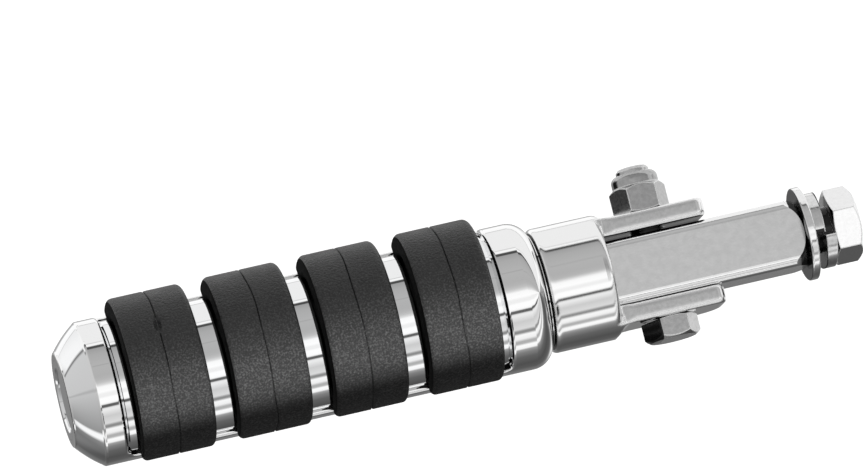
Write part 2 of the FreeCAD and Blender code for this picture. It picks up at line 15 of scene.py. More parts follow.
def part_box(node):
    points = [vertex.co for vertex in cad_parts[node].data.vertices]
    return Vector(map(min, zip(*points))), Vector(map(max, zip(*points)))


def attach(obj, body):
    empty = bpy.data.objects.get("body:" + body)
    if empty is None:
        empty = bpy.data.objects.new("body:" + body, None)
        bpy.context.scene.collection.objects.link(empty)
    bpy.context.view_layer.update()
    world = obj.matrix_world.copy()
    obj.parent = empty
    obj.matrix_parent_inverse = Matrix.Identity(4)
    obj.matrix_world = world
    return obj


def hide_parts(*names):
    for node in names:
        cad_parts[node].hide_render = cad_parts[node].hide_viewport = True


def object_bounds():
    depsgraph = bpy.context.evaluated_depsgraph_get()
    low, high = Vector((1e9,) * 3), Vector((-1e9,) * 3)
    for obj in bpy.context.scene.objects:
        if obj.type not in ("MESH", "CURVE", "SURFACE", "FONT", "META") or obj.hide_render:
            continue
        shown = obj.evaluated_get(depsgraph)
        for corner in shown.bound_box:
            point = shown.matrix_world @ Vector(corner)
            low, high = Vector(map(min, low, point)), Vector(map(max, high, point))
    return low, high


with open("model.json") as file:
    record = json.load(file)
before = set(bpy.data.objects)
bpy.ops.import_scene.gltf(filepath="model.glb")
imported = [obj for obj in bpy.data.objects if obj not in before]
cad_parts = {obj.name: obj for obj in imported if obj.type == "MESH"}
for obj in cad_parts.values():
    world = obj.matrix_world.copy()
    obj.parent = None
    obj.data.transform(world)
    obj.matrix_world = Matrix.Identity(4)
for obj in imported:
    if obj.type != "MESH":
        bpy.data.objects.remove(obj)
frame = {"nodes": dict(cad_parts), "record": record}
nodes = frame["nodes"]
cad_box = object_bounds()
MM = 0.001
print("pieces in the frame:", len(nodes))

# %% [markdown]
# The camera stands where the photograph's did. Three turns describe it: the peg's axis climbs to the
# right in the picture, its nose end comes towards the viewer, and the bar is rolled a little about
# its own length. From these come two directions that the lighting uses as well: "up" across the peg,
# and "front" out of the bar's upper face towards the viewer.

# %% Directions of the view
climb_angle = np.radians(12.72)
nose_angle = np.radians(8.7)
roll_angle = np.radians(7.5)

up = np.array([0.0, np.cos(roll_angle), np.sin(roll_angle)])
front = np.array([0.0, -np.sin(roll_angle), np.cos(roll_angle)])
along = np.array([1.0, 0.0, 0.0])
to_viewer = np.cos(nose_angle) * front - np.sin(nose_angle) * along
across = np.cos(nose_angle) * along + np.sin(nose_angle) * front
picture_right = np.cos(climb_angle) * across - np.sin(climb_angle) * up
picture_up = np.sin(climb_angle) * across + np.cos(climb_angle) * up
print("towards the viewer:", np.round(to_viewer, 3))

# %% [markdown]
# A long lens far away keeps the peg's edges nearly parallel, as they are in the photograph. The
# frame's origin, the middle of the bar's end, has to land on one known pixel, and that fixes where
# the camera stands. Pointing it by a matrix, not by hand, keeps the picture the same in every run.

# %% Camera
image_width, image_height = 863, 470
bar_end_pixel = (798.9, 234.3)
pixels_per_metre = 3500.0
camera_distance = 2.5
sensor_width = 36.0

offset_right = (bar_end_pixel[0] - (image_width - 1) / 2) / pixels_per_metre
offset_up = ((image_height - 1) / 2 - bar_end_pixel[1]) / pixels_per_metre
camera_place = camera_distance * to_viewer - offset_right * picture_right - offset_up * picture_up

camera = bpy.data.objects.new("camera", bpy.data.cameras.new("camera"))
camera.data.sensor_width = sensor_width
camera.data.lens = pixels_per_metre * camera_distance * sensor_width / image_width
camera.data.clip_start, camera.data.clip_end = 0.1, 20.0
turn = Matrix([list(picture_right), list(picture_up), list(to_viewer)]).transposed()
camera.matrix_world = Matrix.Translation(Vector(camera_place)) @ turn.to_4x4()
bpy.context.scene.collection.objects.link(camera)
bpy.context.scene.camera = camera
bpy.context.scene.view_settings.view_transform = "Standard"
print("lens:", round(camera.data.lens, 1), "mm")


# %% [markdown]
# Every material below is a small tree of shader nodes. A few helpers keep the trees short: each one
# adds a node, joins its inputs and hands back its output, so that a formula in nodes reads almost
# like a formula in numbers.

# %% Helpers for shader nodes
def add_node(tree, kind, **settings):
    """A shader node of a kind, with some of its settings."""
    node = tree.nodes.new(kind)
    for key, value in settings.items():
        setattr(node, key, value)
    return node


def math_node(tree, operation, *inputs):
    """A Math node; each input is a number or another node's output."""
    node = add_node(tree, "ShaderNodeMath", operation=operation)
    for socket, value in zip(node.inputs, inputs):
        if isinstance(value, (int, float)):
            socket.default_value = value
        else:
            tree.links.new(value, socket)
    return node.outputs[0]


def product(tree, first, *others):
    """All the values multiplied together."""
    for value in others:
        first = math_node(tree, "MULTIPLY", first, value)
    return first


def blend(tree, share, first, second):
    """Colour that goes from first to second as share goes from 0 to 1; a number is a grey."""
    node = add_node(tree, "ShaderNodeMix", data_type="RGBA")
    tree.links.new(share, node.inputs["Factor"])
    for socket, value in ((node.inputs[6], first), (node.inputs[7], second)):
        if isinstance(value, float):
            socket.default_value = (value, value, value, 1.0)
        else:
            tree.links.new(value, socket)
    return node.outputs[2]


def rise(tree, value, start, end):
    """0 before start, 1 past end, and a smooth climb between them."""
    node = add_node(tree, "ShaderNodeMapRange", interpolation_type="SMOOTHSTEP")
    node.inputs["From Min"].default_value = start
    node.inputs["From Max"].default_value = end
    tree.links.new(value, node.inputs["Value"])
    return node.outputs["Result"]


def share_along(tree, direction, axis):
    """How far a direction goes along an axis: their dot product."""
    node = add_node(tree, "ShaderNodeVectorMath", operation="DOT_PRODUCT")
    tree.links.new(direction, node.inputs[0])
    node.inputs[1].default_value = tuple(axis)
    return node.outputs["Value"]


def to_linear(brightness):
    """Light that a display shows at this brightness, by the sRGB curve."""
    return ((brightness + 0.055) / 1.055) ** 2.4 if brightness > 0.04 else brightness / 12.92


def ramp(tree, position, stops, span):
    """Brightness ramp from (place, brightness) stops, places running from 0 to span."""
    node = add_node(tree, "ShaderNodeValToRGB")
    elements = node.color_ramp.elements
    while len(elements) < len(stops):
        elements.new(0.5)
    for element, (place, brightness) in zip(elements, stops):
        element.position = place / span
        light = to_linear(brightness)
        element.color = (light, light, light, 1.0)
    tree.links.new(position, node.inputs[0])
    return node.outputs[0]


# %% [markdown]
# Chrome has no colour of its own: it shows the room. So the room is the first thing to make. A
# photographer hangs pale cloths and dark strips round the object, and on a round bar they all turn
# into stripes along its length. Lamps and cards could be placed one by one, but a world painted by
# direction is easier to tune: how far a direction has turned from the front, over the top or under
# the bottom, picks its brightness. A stripe needs only its two edges, so each list of (turn in
# degrees, brightness) is short. The nose's taper looks past the end of the peg and has its own list.

# %% Stops of the room
room_above = [
    (0, 1.00), (8, 0.98), (11, 0.86), (15, 0.76), (20, 0.71), (26, 0.69), (42, 0.70), (43.5, 0.64),
    (45, 0.70), (64, 0.67), (75, 0.62), (76, 0.28), (80, 0.30), (81.5, 0.97), (85, 0.97),
    (86.5, 0.78), (88, 0.93), (134, 0.93), (138, 0.92), (139.5, 0.66), (141, 0.98), (158, 1.00),
    (165, 0.66), (180, 0.60),
]
room_below = [
    (0, 1.00), (4, 0.94), (8, 0.94), (11, 1.00), (18, 1.00), (20.5, 0.94), (22, 0.38), (25.5, 0.36),
    (27.5, 0.90), (30, 0.93), (41, 0.80), (53, 0.86), (57, 0.55), (60, 0.55), (64, 0.98), (71, 0.94),
    (76, 0.68), (80, 0.70), (84, 1.00), (90, 0.96), (93, 0.62), (99, 0.50), (110, 0.38), (128, 0.31),
    (145, 0.35), (152, 0.42), (160, 0.45), (167, 0.47), (171, 0.62), (180, 0.50),
]
room_end = [
    (0, 0.62), (20, 0.52), (38, 0.46), (45, 0.52), (49, 0.98), (54, 0.98), (57, 0.58), (72, 0.66),
    (90, 0.76), (92, 0.68), (94, 0.78), (125, 0.80), (128, 0.42), (131, 0.97), (180, 0.97),
]
half_turn = float(np.pi)
ramp_span = 180.0
room_tilt = 0.41
room_strength = 1.06
print("room stops:", len(room_above), "above,", len(room_below), "below,", len(room_end), "at the end")

# %% [markdown]
# Three patches break the stripes. Level with the peg, the room is black beyond the nose and pale
# beyond the bar, which faces that look to the left and right pick up. And a dark block hangs low in
# front. Each patch is a product of smooth steps, from one limit to the other, in a direction's
# height, depth, length or turn.

# %% Patches of the room
end_length = (-0.35, -0.70)
level_height = (0.50, 0.25)
left_depth, left_length = (-0.22, -0.34), (-0.45, -0.65)
right_depth, right_length = (0.0, -0.3), (0.25, 0.50)
far_left_light = 0.01
far_right_light = 0.90
block_light = 0.02
block_start = (28.0 / ramp_span, 28.0 / ramp_span + 0.015)
block_stop = (50.0 / ramp_span, 50.0 / ramp_span - 0.03)
block_right, block_left = (0.09, 0.03), (-0.50, -0.35)


# %% The room round the object
def striped_light(tree, height, depth, length):
    """Light of the cloths, and the turn that picks it: the angle of (height, depth - tilt * length)."""
    leaning = math_node(tree, "SUBTRACT", depth, math_node(tree, "MULTIPLY", length, room_tilt))
    angle = math_node(tree, "ARCTAN2", height, leaning)
    turned = math_node(tree, "DIVIDE", math_node(tree, "ABSOLUTE", angle), half_turn)
    above = ramp(tree, turned, room_above, ramp_span)
    below = ramp(tree, turned, room_below, ramp_span)
    sides = blend(tree, math_node(tree, "GREATER_THAN", height, 0.0), below, above)
    whole_turn = math_node(tree, "DIVIDE", math_node(tree, "ADD", angle, half_turn), 2.0 * half_turn)
    end = ramp(tree, whole_turn, room_end, ramp_span)
    return turned, blend(tree, rise(tree, length, *end_length), sides, end)


def patched_light(tree, light, turned, height, depth, length):
    """The three patches laid over the stripes."""
    level = rise(tree, math_node(tree, "ABSOLUTE", height), *level_height)
    left = product(tree, rise(tree, depth, *left_depth), rise(tree, length, *left_length), level)
    right = product(tree, rise(tree, depth, *right_depth), rise(tree, length, *right_length), level)
    light = blend(tree, left, light, far_left_light)
    light = blend(tree, right, light, far_right_light)
    turned_in = product(tree, rise(tree, turned, *block_start), rise(tree, turned, *block_stop))
    nearby = product(tree, rise(tree, length, *block_right), rise(tree, length, *block_left))
    is_below = math_node(tree, "LESS_THAN", height, 0.0)
    return blend(tree, product(tree, turned_in, nearby, is_below), light, block_light)


def make_room():
    """World that lights the object by direction, and is plain white where the camera sees it."""
    world = bpy.data.worlds.new("room")
    bpy.context.scene.world = world
    world.use_nodes = True
    tree = world.node_tree
    tree.nodes.clear()
    direction = add_node(tree, "ShaderNodeTexCoord").outputs["Generated"]
    height, depth, length = (share_along(tree, direction, axis) for axis in (up, front, along))
    turned, light = striped_light(tree, height, depth, length)
    light = patched_light(tree, light, turned, height, depth, length)

    lit = add_node(tree, "ShaderNodeBackground")
    lit.inputs["Strength"].default_value = room_strength
    tree.links.new(light, lit.inputs["Color"])
    white = add_node(tree, "ShaderNodeBackground")
    white.inputs["Color"].default_value = (1.0, 1.0, 1.0, 1.0)
    mix = add_node(tree, "ShaderNodeMixShader")
    tree.links.new(add_node(tree, "ShaderNodeLightPath").outputs["Is Camera Ray"], mix.inputs[0])
    tree.links.new(lit.outputs[0], mix.inputs[1])
    tree.links.new(white.outputs[0], mix.inputs[2])
    output = add_node(tree, "ShaderNodeOutputWorld")
    tree.links.new(mix.outputs[0], output.inputs["Surface"])
    print("nodes in the room:", len(tree.nodes))


make_room()


# %% [markdown]
# New pieces here are grids of points worked out with numpy. One helper turns such a grid into a
# mesh. It joins the last row or column to the first where the surface closes on itself, adds a
# point at each pole where it doesn't, and turns the faces outwards by the sign of the volume.

# %% From a grid of points to a mesh
def surface(name, grid, close_rows=True, smooth_angle=50.0):
    """Mesh object from a (rows, columns, 3) grid in metres; columns always close into rings.

    The volume is the sum over triangles of a . (b x c) / 6, and a negative one turns the faces.
    """
    rows, columns = grid.shape[:2]
    points = grid.reshape(-1, 3)
    row = np.arange(rows if close_rows else rows - 1)[:, None]
    column = np.arange(columns)[None, :]
    next_row, next_column = (row + 1) % rows, (column + 1) % columns
    quads = np.stack([row * columns + column, row * columns + next_column,
                      next_row * columns + next_column, next_row * columns + column], -1).reshape(-1, 4)
    faces = quads.tolist()
    if not close_rows:
        first, last = len(points), len(points) + 1
        points = np.vstack([points, grid[0].mean(0), grid[-1].mean(0)])
        ring = np.arange(columns)
        after = (ring + 1) % columns
        top = (rows - 1) * columns
        faces += np.stack([np.full(columns, first), after, ring], -1).tolist()
        faces += np.stack([np.full(columns, last), top + ring, top + after], -1).tolist()
    corners = points[quads]
    triangles = np.concatenate([corners[:, [0, 1, 2]], corners[:, [0, 2, 3]]])
    volume = np.einsum("ij,ij->i", triangles[:, 0], np.cross(triangles[:, 1], triangles[:, 2])).sum() / 6.0
    if volume < 0:
        faces = [face[::-1] for face in faces]
    mesh = bpy.data.meshes.new(name)
    mesh.from_pydata(points.tolist(), [], faces)
    mesh.polygons.foreach_set("use_smooth", np.ones(len(faces), bool))
    mesh.set_sharp_from_angle(angle=np.radians(smooth_angle))
    mesh.update()
    piece = bpy.data.objects.new(name, mesh)
    bpy.context.scene.collection.objects.link(piece)
    print(name, "faces:", len(faces), "volume:", round(abs(volume) * 1e9), "mm3")
    return piece


# %% [markdown]
# Finishes come next. They all start from the Principled shader, and all their patterns read the
# Object coordinates: a pattern is then fixed to the piece in metres, and stays on it when the piece
# moves. Noise gives the unevenness that every real surface has.

# %% Finishes: shader, noise and bump
def finish(name, colour, metallic, roughness):
    """Named material with a Principled shader and its Object coordinates."""
    material = bpy.data.materials.new(name)
    material.use_nodes = True
    tree = material.node_tree
    shader = tree.nodes["Principled BSDF"]
    shader.inputs["Base Color"].default_value = (*colour, 1.0)
    shader.inputs["Metallic"].default_value = metallic
    shader.inputs["Roughness"].default_value = roughness
    place = add_node(tree, "ShaderNodeTexCoord").outputs["Object"]
    return material, tree, shader, place


def noise(tree, place, scale, detail=2.0):
    """Noise on the piece's own coordinates, in features per metre."""
    texture = add_node(tree, "ShaderNodeTexNoise")
    texture.inputs["Scale"].default_value = scale
    texture.inputs["Detail"].default_value = detail
    tree.links.new(place, texture.inputs["Vector"])
    return texture.outputs[0]


def between(tree, value, low, high, start=0.3, end=0.7):
    """A noise value from start to end, mapped onto low to high."""
    node = add_node(tree, "ShaderNodeMapRange")
    for key, number in (("From Min", start), ("From Max", end), ("To Min", low), ("To Max", high)):
        node.inputs[key].default_value = number
    tree.links.new(value, node.inputs["Value"])
    return node.outputs["Result"]


def bump(tree, shader, height, distance, rounded=None):
    """Bump from a height that is worth distance in metres, on top of a normal if one is given."""
    node = add_node(tree, "ShaderNodeBump")
    node.inputs["Distance"].default_value = distance
    tree.links.new(height, node.inputs["Height"])
    tree.links.new(node.outputs[0], shader.inputs["Normal"])
    if rounded:
        tree.links.new(rounded, node.inputs["Normal"])


# %% [markdown]
# A finish is rarely the same all over a piece. Edges are rounded and polished by handling, and on
# the clevis's ears they also get a painted highlight. Flats keep their texture, and gaps and hidden
# faces get painted shade, nearly black. Three masks find these places: the edges by how far the
# Bevel node turns the normal, the flats by the normal's own largest share, and the gaps with painted
# shade by a box in the piece's coordinates.

# %% Finishes: masks
far = 1.0
# Grey of the painted shade in gaps and on hidden faces.
painted_shade_grey = 0.03
edge_agreement = (0.998, 0.95)
flat_share = (0.975, 0.995)


def soft_edges(tree, radius):
    """A normal that rounds sharp edges to a radius, and a share that is 1 where it has turned."""
    rounded = add_node(tree, "ShaderNodeBevel", samples=8)
    rounded.inputs["Radius"].default_value = radius
    agreement = add_node(tree, "ShaderNodeVectorMath", operation="DOT_PRODUCT")
    tree.links.new(rounded.outputs[0], agreement.inputs[0])
    tree.links.new(add_node(tree, "ShaderNodeNewGeometry").outputs["Normal"], agreement.inputs[1])
    return rounded.outputs[0], rise(tree, agreement.outputs["Value"], *edge_agreement)


def flatness(tree, axes=(0, 1, 2)):
    """1 on faces that look along one of the piece's own axes, 0 on its roundings."""
    normal = add_node(tree, "ShaderNodeSeparateXYZ")
    tree.links.new(add_node(tree, "ShaderNodeTexCoord").outputs["Normal"], normal.inputs[0])
    largest = 0.0
    for axis in axes:
        largest = math_node(tree, "MAXIMUM", math_node(tree, "ABSOLUTE", normal.outputs[axis]), largest)
    return rise(tree, largest, *flat_share)


def box_of(x=(-far, far), y=(-far, far), z=(-far, far)):
    """Two opposite corners of a box in metres, open on the sides that aren't given."""
    return tuple(zip(x, y, z))


def inside(tree, place, box):
    """1 in a box, 0 outside it."""
    axes = add_node(tree, "ShaderNodeSeparateXYZ")
    tree.links.new(place, axes.inputs[0])
    share = 1.0
    for axis, start, end in zip(axes.outputs, *box):
        for test, limit in (("GREATER_THAN", start), ("LESS_THAN", end)):
            share = math_node(tree, "MULTIPLY", math_node(tree, test, axis, float(limit)), share)
    return share


def paint_shade(tree, place, grey, boxes):
    """The grey with painted shade, nearly black, in every box given."""
    for box in boxes:
        grey = blend(tree, inside(tree, place, box), grey, painted_shade_grey)
    return grey


# %% [markdown]
# Mirror chrome is a metal with almost no roughness, but real plating is never quite flat: a long,
# very shallow ripple bends the stripes a little, and the roughness drifts. The clevis has the same
# chrome on its round base. The flat faces of its two ears are only brushed, so they are a mottled
# grey, and their edges carry a painted highlight. The channel between the ears, which the bar
# fills, and a thin groove by the collar on the clevis and the shell are painted dark as shade.

# %% Mirror chrome
# Boxes of painted shade on the chrome: the channel that the bar fills, and the groove by the collar.
channel = box_of(x=(-73.0 * MM, far), y=(-9.2 * MM, 10.8 * MM), z=(-far, 10.7 * MM))
groove = box_of(x=(-78.32 * MM, -77.5 * MM))
ears = box_of(x=(-60.0 * MM, far))
ear_edge_radius = 1.6 * MM
chrome_grey = 0.935
ripple_height = 0.00003


def brushed_ears_and_painted_edge_highlight(tree, place, grey, roughness):
    """Grey, roughness and rounded normal with the ears' flat faces brushed and a painted highlight on
    their edges.
    """
    at_ears = inside(tree, place, ears)
    face = math_node(tree, "MULTIPLY", flatness(tree, [2]), at_ears)
    mottle = between(tree, noise(tree, place, 900.0, 3.0), 0.0, 1.0)
    grey = blend(tree, face, grey, blend(tree, mottle, 0.60, 0.70))
    roughness = math_node(tree, "MAXIMUM", roughness, math_node(tree, "MULTIPLY", face, 0.18))
    rounded, edge = soft_edges(tree, ear_edge_radius)
    # The ears' edges are painted bright: a painted highlight.
    return blend(tree, product(tree, edge, at_ears), grey, 1.0), roughness, rounded


def mirror_chrome(name, painted_shade_boxes=(), has_ears=False):
    """Bright plated chrome with a very shallow ripple, and painted shade in the boxes given."""
    material, tree, shader, place = finish(name, (0.93, chrome_grey, 0.94), 1.0, 0.03)
    grey, rounded = chrome_grey, None
    roughness = between(tree, noise(tree, place, 60.0), 0.018, 0.045)
    if has_ears:
        grey, roughness, rounded = brushed_ears_and_painted_edge_highlight(tree, place, grey, roughness)
    if painted_shade_boxes:
        tree.links.new(paint_shade(tree, place, grey, painted_shade_boxes), shader.inputs["Base Color"])
    tree.links.new(roughness, shader.inputs["Roughness"])
    bump(tree, shader, noise(tree, place, 45.0, 0.0), ripple_height, rounded)
    return material


# %% [markdown]
# The bar and the fasteners are plated steel, not polished. Light spreads on them, so they show a
# soft average of the room. The bar's faces are mottled at a millimetre or two, and its long rounded
# edges are burnished bright. The fasteners are smoother, and worn edges outline their flats: there
# the roughness goes up as well, which makes the outline catch light from everywhere.

# %% Plated steel
grain_height = 0.000008
fastener_edge_radius = 0.5 * MM
burnished_grey = 0.96
worn_roughness = 0.5


def satin_zinc():
    """Matt plated bar with a fine mottle on its flats; its rounded edges are burnished."""
    material, tree, shader, place = finish("satin_zinc_bar", (0.62, 0.63, 0.64), 1.0, 0.22)
    flat = flatness(tree)
    coarse = between(tree, noise(tree, place, 500.0, 4.0), 0.0, 1.0)
    mottle = blend(tree, coarse, 0.76, 0.84)
    tree.links.new(blend(tree, flat, burnished_grey, mottle), shader.inputs["Base Color"])
    tree.links.new(between(tree, flat, 0.08, 0.20, 0.0, 1.0), shader.inputs["Roughness"])
    bump(tree, shader, noise(tree, place, 1700.0, 3.0), grain_height)
    return material


def plated(name, low, high, roughness, painted_shade_boxes=()):
    """Plated fastener whose grey drifts from low to high, with bright worn edges and painted shade in the
    boxes given.
    """
    material, tree, shader, place = finish(name, (high, high, high), 1.0, roughness)
    drift = noise(tree, place, 900.0, 3.0)
    rounded, edge = soft_edges(tree, fastener_edge_radius)
    grey = blend(tree, between(tree, drift, 0.0, 1.0), low, high)
    grey = blend(tree, edge, grey, burnished_grey)
    tree.links.new(paint_shade(tree, place, grey, painted_shade_boxes), shader.inputs["Base Color"])
    gloss = between(tree, noise(tree, place, 1900.0), 0.8 * roughness, 1.3 * roughness)
    worn = math_node(tree, "MULTIPLY", edge, worn_roughness)
    tree.links.new(math_node(tree, "MAXIMUM", gloss, worn), shader.inputs["Roughness"])
    bump(tree, shader, drift, grain_height, rounded)
    return material


def plain_steel():
    """Dark oiled steel of the screws inside."""
    material, tree, shader, place = finish("plain_steel", (0.35, 0.35, 0.36), 1.0, 0.35)
    tree.links.new(between(tree, noise(tree, place, 900.0), 0.28, 0.42), shader.inputs["Roughness"])
    return material


def nylon():
    """Off-white nylon of the lock nut's ring."""
    material, tree, shader, place = finish("nylon_ring", (0.72, 0.71, 0.67), 0.0, 0.45)
    tree.links.new(between(tree, noise(tree, place, 700.0), 0.38, 0.52), shader.inputs["Roughness"])
    return material


# %% [markdown]
# The rubber is charcoal, and its skin comes from a sand-blasted mould. Close up it is a field of
# tiny pits, each with a bright side, so it looks speckled where the light falls and velvety where
# it doesn't. A fine bump gives the pits. Each band gets a painted highlight across its crown, a
# lighter grey strewn with painted glints, and painted shade on its lower end, which is also
# rougher. Two attributes are worked out with the band's shape and say how much of each a point
# has: the lighter grey and the glints follow the first, a dull black the second.

# %% Moulded rubber
pit_height = 0.00045
side_pit_height = 0.0002
# Greys of the painted shade on the lower end, of the painted highlight and of the painted glints.
painted_low_shade_grey = 0.001
painted_highlight_grey = 0.078
painted_glint_grey = 0.28


def attribute(tree, name):
    """A named number that the mesh holds at its points."""
    return add_node(tree, "ShaderNodeAttribute", attribute_name=name).outputs["Fac"]


def moulded_rubber():
    """Charcoal rubber with a pitted skin, a painted highlight with painted glints on its crown, and
    painted shade on its lower end.
    """
    material, tree, shader, place = finish("moulded_rubber", (0.03, 0.03, 0.031), 0.0, 0.55)
    shader.inputs["IOR"].default_value = 1.5
    # Shares of the painted highlight on the crown and of the painted shade on the lower end.
    painted_highlight, painted_low_shade = attribute(tree, "painted_highlight"), attribute(tree, "painted_low_shade")
    clouds = between(tree, noise(tree, place, 130.0, 3.0), 0.0, 1.0)
    # Painted glints, thin everywhere and dense where the painted highlight lies.
    painted_glints = between(tree, noise(tree, place, 1900.0, 3.0), 0.0, 1.0, 0.46, 0.74)
    painted_glints = math_node(tree, "MULTIPLY", painted_glints, between(tree, painted_highlight, 0.10, 1.0, 0.0, 1.0))
    # Painted shade on the lower end, and a lighter painted highlight on the crown.
    base = blend(tree, painted_low_shade, blend(tree, clouds, 0.008, 0.016), painted_low_shade_grey)
    base = blend(tree, painted_highlight, base, painted_highlight_grey)
    tree.links.new(blend(tree, painted_glints, base, painted_glint_grey), shader.inputs["Base Color"])
    gloss = between(tree, clouds, 0.38, 0.50, 0.0, 1.0)
    tree.links.new(math_node(tree, "MAXIMUM", gloss, painted_low_shade), shader.inputs["Roughness"])
    bump(tree, shader, noise(tree, place, 1500.0, 4.0), pit_height)
    return material


def rubber_side():
    """The same rubber on the side walls, dull and painted nearly black as shade under the rounded edge."""
    material, tree, shader, place = finish("rubber_side", (0.004, 0.004, 0.004), 0.0, 0.9)
    shader.inputs["Specular IOR Level"].default_value = 0.12
    bump(tree, shader, noise(tree, place, 1500.0, 4.0), side_pit_height)
    return material


# %% [markdown]
# Every carried-over piece takes the finish that its material slot names. Some pieces get one of
# their own, with painted shade, nearly black, in some places: the back of the flat washer, both
# sides of the lock washer's split, the bolt's shank behind that split, the pivot bolt inside the
# channel, and the flank of the pivot bolt's head that faces the clevis, where it is a painted dark
# reflection. The washers' own boxes give most of these places, and the split's height and the
# flank's corner are plain sizes.

# %% Painted shade on the fasteners
washer_low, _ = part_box("flat_washer")
split_low, split_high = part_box("lock_washer")
split_x = 0.5 * (split_low.x + split_high.x) + 0.2 * MM
split_y = -1.0 * MM
# Boxes of painted shade on the fasteners.
washer_back = box_of(x=(-far, washer_low.x + 0.12 * MM))
above_split = box_of(x=(split_x, far), y=(split_y, far))
below_split = box_of(x=(-far, split_x - 0.4 * MM), y=(-far, split_y))
bolt_shank = box_of(x=(-far, split_high.x + 0.02 * MM))
# The flank of the pivot bolt's head gets a painted dark reflection.
shaded_flank = box_of(x=(-far, -46.4 * MM), y=(-far, -15.4 * MM), z=(-2.0 * MM, far))

# %% Give every carried-over piece its finish
finishes = {
    "chrome": mirror_chrome("mirror_chrome"),
    "satin_zinc": satin_zinc(),
    "bright_zinc": plated("bright_zinc_fasteners", 0.90, 0.95, 0.11),
    "plain_steel": plain_steel(),
    "nylon": nylon(),
    "rubber": moulded_rubber(),
    "rubber_side": rubber_side(),
}
special = {
    "clevis": mirror_chrome("mirror_chrome_clevis", [channel, groove], has_ears=True),
    "peg_shell": mirror_chrome("mirror_chrome_shell", [groove]),
    "pivot_bolt": plated("dull_zinc_bolt", 0.50, 0.62, 0.16, [channel, shaded_flank]),
    "pivot_nut": plated("dull_zinc_nut", 0.42, 0.52, 0.16),
    "flat_washer": plated("bright_zinc_washer", 0.88, 0.94, 0.11, [washer_back]),
    "lock_washer": plated("bright_zinc_split", 0.70, 0.82, 0.14, [above_split, below_split]),
    "mounting_bolt": plated("bright_zinc_bolt", 0.90, 0.95, 0.11, [bolt_shank]),
}
slot_of = {part["node"]: part["material_slot"] for part in frame["record"]["subparts"]}
for name, node in nodes.items():
    for holder in node.material_slots:
        holder.material = special.get(name, finishes[slot_of[name]])
print("finished nodes:", len(slot_of))

# %% [markdown]
# Each rubber band is one moulding: a wide pad over the tread and a narrow strap behind it, both on
# one circle that sits off the peg's centre towards the tread. Joining a pad and a strap by a Boolean
# would leave a hard seam, so the band is one skin instead, a ring of sections. A section is a
# rounded rectangle that stands from an inner point on the core to an outer point on the band's
# skin, and only its two end points and its half width change on the way round. At the pad's foot
# the half width draws in over a rounded edge, and so the pad turns into the strap.

# %% Band sizes
band_count = 4
core_radius = 13.05 * MM
skin_radius = 23.5 * MM
skin_offset = 6.0 * MM
edge_radius = 1.7 * MM
foot_height = 1.9 * MM
foot_radius = 1.3 * MM
strap_half_width = 2.75 * MM
strap_limit = 19.4 * MM
strap_edge = 0.6 * MM
foot_undercut = 0.8
foot_edge_share = 0.6
pad_rows, foot_rows, strap_rows = 56, 8, 45


# %% Path of the sections round the peg
def skin_reach(angle):
    """Distance from the peg's centre to the off-centre circle, in a direction turned from the tread."""
    shift = skin_offset * np.cos(angle)
    return shift + np.sqrt(shift ** 2 + skin_radius ** 2 - skin_offset ** 2)


def half_path(half_width):
    """Rows from the tread's middle, down one side to the middle of the strap.

    Each row is (outer y, outer z, inner y, inner z, half width, corner radius, undercut). The foot's
    edge follows a quarter circle: height falls by r sin a while the section draws in by r (1 - cos a).
    """
    pad_z = foot_height + foot_radius
    share = np.linspace(0.0, 1.0, pad_rows)
    outer = share * np.arccos((pad_z - skin_offset) / skin_radius)
    inner = share * np.arccos(pad_z / core_radius)
    pad = [skin_radius * np.sin(outer), skin_offset + skin_radius * np.cos(outer),
           core_radius * np.sin(inner), core_radius * np.cos(inner),
           np.full(pad_rows, half_width), np.full(pad_rows, edge_radius), np.ones(pad_rows)]

    bend = np.radians(np.linspace(0.0, 90.0, foot_rows + 1)[1:])
    drawn_in = foot_radius * (1.0 - np.cos(bend))
    height = pad_z - foot_radius * np.sin(bend)
    foot = [pad[0][-1] - drawn_in, height, np.sqrt(core_radius ** 2 - height ** 2), height,
            half_width - drawn_in, edge_radius - foot_edge_share * drawn_in,
            np.linspace(foot_undercut, 0.0, foot_rows)]

    share = np.linspace(0.0, 1.0, foot_rows + 1)[1:]
    strap_y = np.sqrt(strap_limit ** 2 - foot_height ** 2)
    sole = [foot[0][-1] + share * (strap_y - foot[0][-1]), np.full(foot_rows, foot_height),
            np.full(foot_rows, foot[2][-1]), np.full(foot_rows, foot_height),
            foot[4][-1] + share * (strap_half_width - foot[4][-1]),
            foot[5][-1] + share * (strap_edge - foot[5][-1]), np.zeros(foot_rows)]

    turn = np.linspace(np.arccos(foot_height / strap_limit), np.pi, strap_rows + 1)[1:]
    reach = np.minimum(strap_limit, skin_reach(turn))
    strap = [reach * np.sin(turn), reach * np.cos(turn),
             core_radius * np.sin(turn), core_radius * np.cos(turn),
             np.full(strap_rows, strap_half_width), np.full(strap_rows, strap_edge), np.zeros(strap_rows)]
    return np.hstack([pad, foot, sole, strap])


def whole_path(half_width):
    """The half path and its mirror image, which turns the sign of both y rows."""
    half = half_path(half_width)
    mirrored = half[:, -2:0:-1] * np.array([[-1.0], [1.0], [-1.0], [1.0], [1.0], [1.0], [1.0]])
    return np.hstack([half, mirrored])


# %% [markdown]
# The mould's two halves leave a thin wavering line round the middle of each band. It is cut into the
# skin itself: columns of points crowd round the line, and the skin sinks there by a bell curve. The
# band nearest the nose also has a small nick on the line: a hollow shaped like a lens, with a
# tongue of rubber left standing in its middle.

